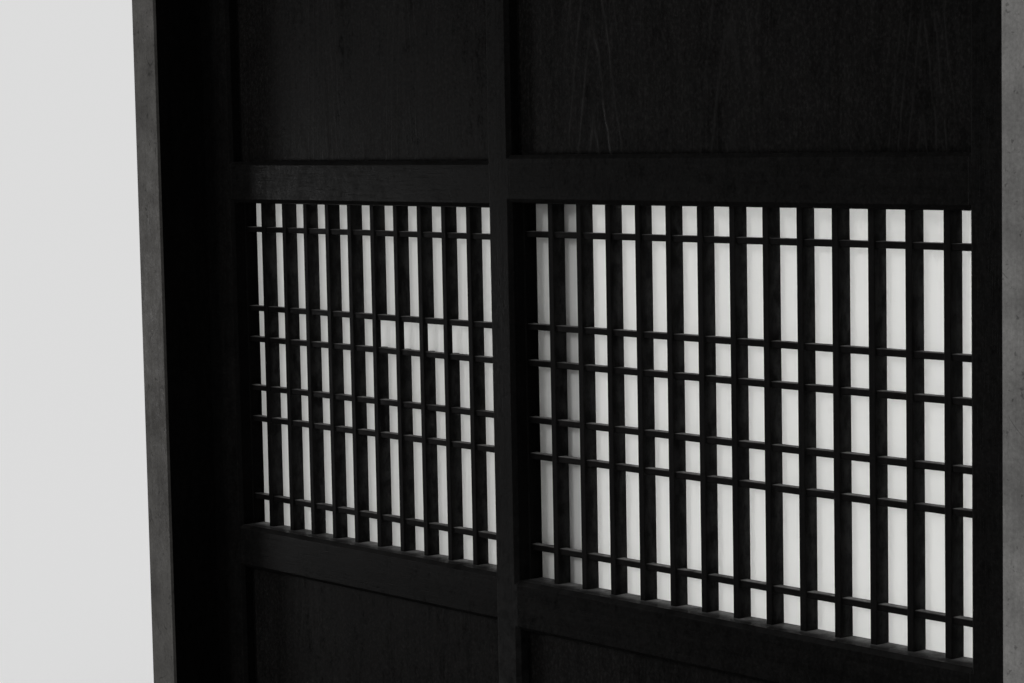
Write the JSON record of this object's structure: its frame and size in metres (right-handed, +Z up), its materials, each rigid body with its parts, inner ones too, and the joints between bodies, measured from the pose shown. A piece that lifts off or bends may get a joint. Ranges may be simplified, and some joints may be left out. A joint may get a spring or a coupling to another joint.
{
  "type": "sliding lattice window",
  "caption": "Wide window of two sliding timber leaves in one frame, each with a backed lattice of upright bars and thin cross rails between board panels.",
  "frame": {"origin": "middle of the foot of the frame, on the surface that the sill stands on", "axes": "+X to the right along the window, +Y from its face to its back, +Z up"},
  "size_m": [1.436, 0.13, 1.1055],
  "materials": {
    "leaf_wood": "dark stained, hand-worn satin",
    "panel_wood": "dark stained boards with raised flame grain",
    "lattice_wood": "dark stained, matt",
    "track_wood": "dark stained, rubbed in the grooves",
    "post_wood": "grey weathered face, dark inner sides",
    "pane": "white, smooth, translucent laminated paper board"
  },
  "bodies": {
    "frame": {"sill": "track_wood", "head": "track_wood", "left_post": "post_wood", "right_post": "post_wood"},
    "front_leaf": {"front_meeting_stile": "leaf_wood", "front_outer_stile": "leaf_wood", "front_bottom_rail": "leaf_wood", "front_lower_lock_rail": "leaf_wood", "front_upper_lock_rail": "leaf_wood", "front_top_rail": "leaf_wood", "front_lower_panel": "panel_wood", "front_upper_panel": "panel_wood", "front_pane": "pane", "front_bar_01": "lattice_wood", "front_bar_02": "lattice_wood", "front_bar_03": "lattice_wood", "front_bar_04": "lattice_wood", "front_bar_05": "lattice_wood", "front_bar_06": "lattice_wood", "front_bar_07": "lattice_wood", "front_bar_08": "lattice_wood", "front_bar_09": "lattice_wood", "front_bar_10": "lattice_wood", "front_bar_11": "lattice_wood", "front_bar_12": "lattice_wood", "front_bar_13": "lattice_wood", "front_thin_rail_1": "lattice_wood", "front_thin_rail_2": "lattice_wood", "front_thin_rail_3": "lattice_wood", "front_thin_rail_4": "lattice_wood", "front_thin_rail_5": "lattice_wood", "front_thin_rail_6": "lattice_wood"},
    "rear_leaf": {"rear_meeting_stile": "leaf_wood", "rear_outer_stile": "leaf_wood", "rear_bottom_rail": "leaf_wood", "rear_lower_lock_rail": "leaf_wood", "rear_upper_lock_rail": "leaf_wood", "rear_top_rail": "leaf_wood", "rear_lower_panel": "panel_wood", "rear_upper_panel": "panel_wood", "rear_pane": "pane", "rear_bar_01": "lattice_wood", "rear_bar_02": "lattice_wood", "rear_bar_03": "lattice_wood", "rear_bar_04": "lattice_wood", "rear_bar_05": "lattice_wood", "rear_bar_06": "lattice_wood", "rear_bar_07": "lattice_wood", "rear_bar_08": "lattice_wood", "rear_bar_09": "lattice_wood", "rear_bar_10": "lattice_wood", "rear_bar_11": "lattice_wood", "rear_bar_12": "lattice_wood", "rear_bar_13": "lattice_wood", "rear_thin_rail_1": "lattice_wood", "rear_thin_rail_2": "lattice_wood", "rear_thin_rail_3": "lattice_wood", "rear_thin_rail_4": "lattice_wood", "rear_thin_rail_5": "lattice_wood", "rear_thin_rail_6": "lattice_wood"}
  },
  "joints": [
    {"name": "front_leaf_slide", "type": "slide", "parent": "frame", "child": "front_leaf", "axis": [1, 0, 0], "range_m": [-0.61, 0]},
    {"name": "rear_leaf_slide", "type": "slide", "parent": "frame", "child": "rear_leaf", "axis": [1, 0, 0], "range_m": [0, 0.61]}
  ]
}
